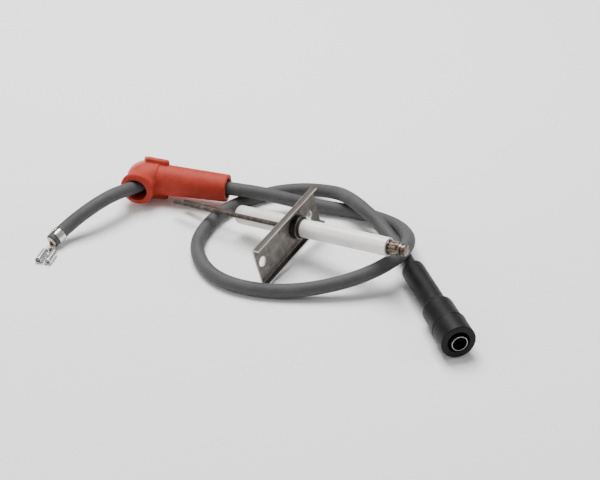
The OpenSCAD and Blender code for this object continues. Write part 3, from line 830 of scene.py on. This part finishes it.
black_rubber = new_finish("black_rubber", (0.005, 0.005, 0.005), 0.5, Specular_IOR_Level=0.17)
skin = noise(0.25, detail=4)
dusting = noise(5, detail=6)
colour(ramp(dusting, (0.35, (0.0035, 0.0034, 0.0033)), (0.75, (0.010, 0.0097, 0.0093))))
rough(ramp(dusting, (0.3, 0.42), (0.7, 0.56)))
relief((skin, 0.03), (noise(2, detail=2), 0.05))

bright_tube = grainy("bright_tube_metal", (0.62, 0.61, 0.59), 0.24, 1.0, 0.6, 6,
                     (0.22, 0.215, 0.205), (0.42, 0.41, 0.40), 0.03, at=(0.3, 0.65))
pin_brass = grainy("pin_brass", (0.55, 0.40, 0.18), 0.3, 1.0, 0.8, 5,
                   (0.34, 0.23, 0.10), (0.62, 0.47, 0.22), 0.03)
wire_steel = grainy("spring_wire_steel", (0.35, 0.35, 0.35), 0.3, 1.0, 0.15, 3,
                    0.24, (0.45, 0.45, 0.44), 0.02)
fit(boot_shell, "lead", "black_rubber", black_rubber, "socket_boot")
fit(tube, "lead", "socket_metal", bright_tube, "socket_tube")
fit(clip, "lead", "spring_wire", wire_steel, "socket_clip")
fit(pin, "lead", "brass_pin", pin_brass, "socket_pin")

# %% Insulation and conductor, bared at both ends
bared_in_boot = turned([
    (jacket_end, 0.95, 0), (jacket_end, 2.6, 0), (insulation_end, 2.6, 0.15),
    (insulation_end, 0.95, 0),
], sides=48)
bared_at_tip = turned([(0, 0.95, 0), (0, 2.6, 0), (0.8, 2.6, 0.2), (0.72, 0.95, 0.1)], sides=48,
                      shape=uneven(0.06))
insulation = mesh_piece("bared_insulation", *joined(
    (place(bared_in_boot[0], boot), bared_in_boot[1]),
    (place(bared_at_tip[0], cable_tip), bared_at_tip[1])))


def seven_ridges(a):
    """The share of the full radius at each angle: seven ridges with grooves 7 % deep."""
    return 0.93 + 0.07 * np.abs(np.cos(3.5 * a))


def strands(x, r, a):
    """Seven twisted strands seen as seven ridges that turn once every 12 mm."""
    return r * seven_ridges(a + 2 * pi * x / 12)


core_sides = 56
core_in_boot = turned([
    (jacket_end, 0, 0), (jacket_end, 0.9, 0.1), (25, 0.9, 0), (27, 0.9, 0),
    (tube_from, 0.9, 0.1), (tube_from, 0, 0),
], sides=core_sides, closed=False, shape=strands)
down_to_barrel = np.concatenate([
    place([[0, 0, 0], [0.6, 0, -0.1], [1.1, 0, -0.5]], cable_tip),
    place([[2.8, 0, 1.6], [3.6, 0, 1.5], [4.6, 0, 1.5], [5.8, 0, 1.5]], connector)])
core_line, _ = smooth_curve(down_to_barrel, 0.15 * MM)
whole, direction, radii = round_ends(core_line, 0.86 * MM, 0.1 * MM)
core_rings = sweep(whole, direction, radii, core_sides)
twist = np.arange(len(whole))[:, None] * 0.08
ridges = seven_ridges(2 * pi * np.arange(core_sides) / core_sides + twist)
core_rings = whole[:, None] + (core_rings - whole[:, None]) * ridges[..., None]
conductor = mesh_piece("stranded_core", *joined(
    (place(core_in_boot[0], boot), core_in_boot[1]),
    (core_rings.reshape(-1, 3), grid_quads(len(whole), core_sides))))

cream_silicone = grainy("cream_insulation", (0.66, 0.58, 0.40), 0.5, 0.0, 0.8, 5,
                        (0.50, 0.42, 0.28), (0.76, 0.70, 0.54), 0.08,
                        Subsurface_Weight=0.1, Subsurface_Scale=0.001)
bare_copper = grainy("tinned_copper", (0.45, 0.27, 0.16), 0.35, 1.0, 0.4, 4,
                     (0.08, 0.04, 0.025), (0.26, 0.16, 0.10), 0.03)
fit(insulation, "lead", "insulation", cream_silicone, "inner_insulation")
fit(conductor, "lead", "copper", bare_copper, "conductor")

# %% [markdown]
# ## Shapes that grow into each other
# The red elbow and the stamped connector aren't turned, and their parts run into each other with
# small fillets. Joining separate meshes would leave hard seams. A distance field avoids them: a
# function that is negative inside the part and positive outside, built from simple shapes that are
# joined or cut with a soft step. The mesh is drawn where the function is zero.

# %% Soft joins, and a mesh from a field
def soft_join(a, b, k):
    """The lower of two fields, with a fillet about k mm wide where they are equal."""
    h = np.clip(0.5 + 0.5 * (b - a) / k, 0, 1)
    return b + h * (a - b) - k * h * (1 - h)


def soft_cut(a, b, k=0.3):
    """What is inside a and not inside b, with its new edge rounded by about k mm."""
    return -soft_join(-a, b, k)


def soft_limit(k, *fields):
    """Inside all of the fields: the highest of them, with rounded edges."""
    whole = fields[0]
    for field in fields[1:]:
        whole = -soft_join(-whole, -field, k)
    return whole


def within(points, frame_of_part):
    """Points of the whole model in mm, seen in a part's own frame: the opposite of place()."""
    at, turn = frame_of_part
    matrix = np.array(Euler([radians(t) for t in turn]).to_matrix())
    return (points - to_origin - np.array(at)) @ matrix


def onto(field, points, cell, steps=4):
    """Moves points to where the field is 0: each step is -field / slope, along the slope."""
    for _ in range(steps):
        sides = [field(points + d) - field(points - d) for d in 0.02 * np.eye(3)]
        slope = np.stack(sides, -1) / 0.04
        length = np.maximum((slope**2).sum(-1, keepdims=True), 0.05)
        step = field(points)[:, None] * slope / length
        size = np.linalg.norm(step, axis=1, keepdims=True)
        points = points - step * np.minimum(1, cell / np.maximum(size, 1e-9))
    return points


def surface_net(field, low, high, cell):
    """Points and faces of the surface field = 0 in the box from low to high, in mm.

    Space is cut in cubes. Each cube whose corners differ in sign holds one point, and each grid
    edge that crosses the surface joins the points of the four cubes round it. Then the points are
    evened out once and moved onto the surface itself.
    """
    grid = np.stack(np.meshgrid(*[np.arange(a, b + cell, cell) for a, b in zip(low, high)],
                                indexing="ij"), -1)
    inside = field(grid) < 0
    corners = sum(inside[i:inside.shape[0] - 1 + i, j:inside.shape[1] - 1 + j,
                         k:inside.shape[2] - 1 + k].astype(int)
                  for i in (0, 1) for j in (0, 1) for k in (0, 1))
    cubes = np.argwhere((corners > 0) & (corners < 8))
    number = np.full(corners.shape, -1)
    number[tuple(cubes.T)] = np.arange(len(cubes))
    faces = []
    for axis in range(3):
        first = tuple(slice(0, -1) if a == axis else slice(1, -1) for a in range(3))
        second = tuple(slice(1, None) if a == axis else slice(1, -1) for a in range(3))
        edge = np.argwhere(inside[first] != inside[second]) + [int(a != axis) for a in range(3)]
        one, two = [np.eye(3, dtype=int)[a] for a in range(3) if a != axis]
        faces.append(np.stack([number[tuple((edge - shift).T)]
                               for shift in (one + two, two, 0 * one, one)], -1))
    faces = np.concatenate(faces)
    points = onto(field, np.array(low) + (cubes + 0.5) * cell, cell)
    total, count = np.zeros_like(points), np.zeros(len(points))
    for turn in range(4):
        np.add.at(total, faces[:, turn], points[faces].mean(1))
        np.add.at(count, faces[:, turn], 1)
    return onto(field, 0.4 * points + 0.6 * total / np.maximum(count, 1)[:, None], cell), faces


# %% [markdown]
# ## The red elbow boot
# Soft red silicone: a long tapered arm that grips the cable, a domed bend with a hood, a short
# mouth with a wide sloping ring face, and a rib above and below for the fingers. Its field is the
# arm, the dome and the mouth joined, the ribs joined to them, and the bores cut last.

# %% Elbow boot
def bar_rib(p, tip, lean):
    """A bar with round ends, 4 mm wide and 13.8 mm long, that stands on the bend and leans."""
    c, s = np.cos(radians(lean)), np.sin(radians(lean))
    side, height = p[..., 1] * c + p[..., 2] * s, p[..., 2] * c - p[..., 1] * s
    past = p[..., 0] - np.clip(p[..., 0], 1.5, 11.3)
    top = height - tip + 0.05 * p[..., 0]
    return soft_limit(1.1, np.hypot(past, side) - 2.0, top, 4 - height)


arm_end, arm_bore_r = 45.75, 5.1
mouth_end, mouth_r = 14.12, 5.8


def elbow_field(p):
    """The elbow in its own frame: the arm runs along X, and the mouth opens towards -Y."""
    x, y, z = p[..., 0], p[..., 1], p[..., 2]
    about_x, about_y, out = np.hypot(y, z), np.hypot(x, z), -y
    arm = soft_limit(0.45, about_x - (8.5 - 1.3 * x / 45.8), x - arm_end, -x)
    dome = np.sqrt(np.minimum(x, 0) ** 2 + y**2 + z**2) - 8.88
    hood = soft_limit(0.7, dome, x - 8.5)
    neck_r = 8.35 + 0.65 * np.clip((out - 7) / 4.5, 0, 1) ** 2
    ring_slope = (out - mouth_end + 0.42 * (about_y - mouth_r)) * 0.92
    mouth = soft_limit(1.0, about_y - neck_r, ring_slope, 1 - out)
    body = soft_join(soft_join(arm, hood, 0.5), mouth, 1.6)
    flip = p * [1, 1, -1]
    body = soft_join(body, bar_rib(p, 11.35, -15), 0.8)
    body = soft_join(body, bar_rib(flip, 10.85, 15), 0.8)
    relief_cut = soft_limit(1.0, np.hypot(x - 3.2, y + 3.2) - 5.5, np.abs(z) - 3.8)
    bores = soft_join(soft_limit(1.0, about_x - arm_bore_r, -x), relief_cut, 0.8)
    bores = soft_join(bores, soft_limit(1.4, about_y - mouth_r, -out - 5), 0.8)
    return soft_cut(body, bores, 0.5)


elbow_points, elbow_faces = surface_net(elbow_field, (-9.9, -15.3, -11.9), (46.9, 9.9, 12.3), 0.42)
elbow_shell = mesh_piece("elbow_boot_red", place(elbow_points, elbow), elbow_faces, sharp=75)
own = within(points_of(elbow_shell) / MM, elbow)
# The dome is painted paler, in patches, on its upper side, turned away from the arm and from the
# mouth.
toward = own / np.linalg.norm(own, axis=1, keepdims=True) @ np.array([-0.62, 0.40, 0.68])
store(elbow_shell, "pale_patches", np.clip((toward - 0.58) / 0.38, 0, 1) * (own[:, 0] < 6))
# Painted shade: the mouth's sloping ring face gets a flat, deeper red of its own.
store(elbow_shell, "ring_face_shade", np.clip((-own[:, 1] - 12.0) / 0.8, 0, 1))

red_silicone = new_finish("red_silicone", (0.50, 0.075, 0.045), 0.48, Subsurface_Weight=0.12,
                          Subsurface_Scale=0.002, Specular_IOR_Level=0.2)
mottle = noise(6, detail=5)
grain = noise(0.3, detail=4)
base = ramp(mottle, (0.3, (0.30, 0.025, 0.014)), (0.7, (0.42, 0.042, 0.022)))
# The paler patches on the dome's upper side are mixed into the colour here.
pale_side_patches = times(mask("pale_patches"), ramp(noise(1.5, detail=6), (0.35, 0.45), (0.65, 0.95)))
with_pale_side = mix(pale_side_patches, base, (0.74, 0.38, 0.30))
# The painted shade on the ring face goes over all the other colour.
colour(mix(mask("ring_face_shade"), with_pale_side, (0.34, 0.030, 0.016)))
rough(ramp(mottle, (0.3, 0.52), (0.7, 0.66)))
relief((grain, 0.04), (noise(1.8, detail=3), 0.06))
fit(elbow_shell, "lead", "red_silicone", red_silicone, "elbow_boot")

# %% [markdown]
# ## The flat push-on connector
# One strip of tinned brass, 0.4 mm thick, is stamped and folded: a strap round the jacket, a neck,
# a barrel crimped on the wire in the shape of a B, and a receptacle whose two sides roll over the
# tab. Folding flat sheets by formula would need a seam at every fold, so this is a field too.

# %% Connector
def slab(p, low, high, k=0.12):
    """A box from corner to corner with edges rounded by about k mm."""
    return soft_limit(k, *[field for a in range(3)
                           for field in (low[a] - p[..., a], p[..., a] - high[a])])


link_from = place([[-0.1, 0, -3.7]], cable_tip)[0] / MM
link_to = place([[3.1, 0, 0.2]], connector)[0] / MM
link_ahead = (link_to - link_from) / np.linalg.norm(link_to - link_from)
link_side = np.cross([0, 0, 1], link_ahead) / np.linalg.norm(np.cross([0, 0, 1], link_ahead))
link_axes = np.stack([link_ahead, link_side, np.cross(link_ahead, link_side)], -1)
link_length = np.linalg.norm(link_to - link_from)


strip, strap_mid_r = 0.4, 3.7
barrel_from, barrel_to, barrel_r = 2.9, 5.2, 1.5
receptacle_from, receptacle_to = 6.6, 16.0
curl_at, curl_height, curl_r = 2.5, 1.7, 1.5


def connector_field(p):
    """The strap and its neck in the frame of the cable's end, the rest in the connector's."""
    t, c = within(p, cable_tip), within(p, connector)
    x, y, z = t[..., 0], t[..., 1], t[..., 2]
    strap = soft_limit(0.12, np.abs(np.hypot(y, z) - strap_mid_r) - strip / 2, x + 2.4, -6.4 - x)
    gap = soft_limit(0.5, np.abs(y) - 0.55 - 0.8 * np.clip((np.abs(x + 4.4) - 1.2) / 1.4, 0, 1), -z)
    strap = soft_cut(strap, gap, 0.15)
    under = slab(t, (-2.9, -1.4, -3.9), (0.3, 1.4, -3.5))
    link = slab((p - link_from) @ link_axes, (-0.2, -1.2, -0.2), (link_length, 1.2, 0.2))

    x, y, z = c[..., 0], c[..., 1], c[..., 2]
    lobes = np.hypot(np.abs(y) - 0.66, z - 1.95) - 0.92
    cup = soft_limit(0.2, np.hypot(y, z - barrel_r) - barrel_r, z - 1.7)
    slit = soft_limit(0.1, np.abs(y) - 0.07, 1.4 - z)
    barrel = soft_cut(soft_join(lobes, cup, 0.25), slit, 0.12)
    flare = 0.12 * np.clip((np.abs(x - 4.05) - 0.85) / 0.4, 0, 1)
    barrel = soft_limit(0.2, barrel - flare, barrel_from - x, x - barrel_to)
    hole = np.hypot(y, z - barrel_r) - 0.8
    barrel = soft_cut(barrel, hole, 0.1)
    neck = slab(c, (4.6, -1.4, 0.0), (7.0, 1.4, strip))

    middle = np.abs(y) - curl_at
    front = receptacle_to - 0.8 * np.clip(1 - np.abs(middle) / 1.3, 0, 1)
    flat = soft_limit(0.12, -z, z - strip, np.abs(y) - 2.55)
    curls = np.abs(np.hypot(middle, z - curl_height) - curl_r) - strip / 2
    rolled = soft_join(flat, curls, 0.2)
    tab_slot = soft_limit(0.2, np.abs(y) - 1.6, strip - z, z - 1.3)
    rolled = soft_cut(rolled, tab_slot, 0.12)
    behind = receptacle_from - x + 0.4 * np.clip(np.abs(y) - 1.4, 0, 1)
    receptacle = soft_limit(0.15, rolled, behind, x - front)
    dimple = np.hypot(x - 11.3, y) - 0.8
    receptacle = soft_cut(receptacle, dimple, 0.2)
    whole = np.minimum(strap, receptacle)
    for part in (under, link, barrel, neck):
        whole = soft_join(whole, part, 0.15)
    return whole


def box_corners(xs, ys, zs, frame_of_part):
    """The eight corners of a box in a part's frame, in mm of the whole model."""
    corners = np.stack(np.meshgrid(xs, ys, zs, indexing="ij"), -1).reshape(-1, 3)
    return place(corners, frame_of_part) / MM


tip_box = np.concatenate([box_corners((-6.8, 0.5), (-4.3, 4.3), (-4.3, 4.3), cable_tip),
                          box_corners((1, 16.4), (-4.5, 4.5), (-0.3, 3.8), connector)])
stamping_points, stamping_faces = surface_net(connector_field, tip_box.min(0), tip_box.max(0), 0.14)
stamping = mesh_piece("push_on_connector", stamping_points * MM, stamping_faces,
                      sharp=50, merge=1e-9)

tinned = new_finish("tinned_brass", (0.66, 0.66, 0.66), 0.26, 1.0)
wipe = noise(0.9, detail=6)
grain = noise(0.15, detail=3, stretch=(8, 1, 1), part=connector)
colour(ramp(wipe, (0.28, (0.40, 0.39, 0.37)), (0.5, (0.66, 0.66, 0.65)), (0.7, 0.80)))
rough(ramp(wipe, (0.3, 0.38), (0.7, 0.20)))
relief((grain, 0.015), (wipe, 0.04))
fit(stamping, "lead", "tin_plate", tinned, "flat_connector")

# %% [markdown]
# ## Light and floor
# Small glossy parts are shown best in a light tent: white all round, one large soft lamp above and
# a weaker one on each side. The floor is a large pale sheet and isn't part of the object.

# %% Lamps, sky and floor
def lamp(name, at, width, power):
    """A square soft lamp `at` a place, facing the origin."""
    light = bpy.data.lights.new(name, "AREA")
    light.shape = "SQUARE"
    light.size = width
    light.energy = power
    holder = bpy.data.objects.new(name, light)
    holder.location = at
    holder.rotation_euler = (-Vector(at)).to_track_quat("-Z", "Y").to_euler()
    bpy.context.scene.collection.objects.link(holder)


lamp("top_lamp", (-0.10, 0.35, 0.9), 0.6, 19.0)
lamp("left_lamp", (-0.9, -0.2, 0.45), 0.4, 2.5)
lamp("right_lamp", (0.9, 0.0, 0.4), 0.4, 2.0)

sky = bpy.data.worlds.new("sky")
sky.use_nodes = True
sky.node_tree.nodes["Background"].inputs["Color"].default_value = (1, 1, 1, 1)
sky.node_tree.nodes["Background"].inputs["Strength"].default_value = 0.38
bpy.context.scene.world = sky

floor_half = 3.0
floor_corners = floor_half * np.array([[-1, -1, 0], [1, -1, 0], [1, 1, 0], [-1, 1, 0]])
floor = mesh_piece("floor", floor_corners, np.array([[0, 1, 2, 3]]))
floor.data.materials.append(new_finish("pale_floor", (0.93, 0.93, 0.93), 0.8))
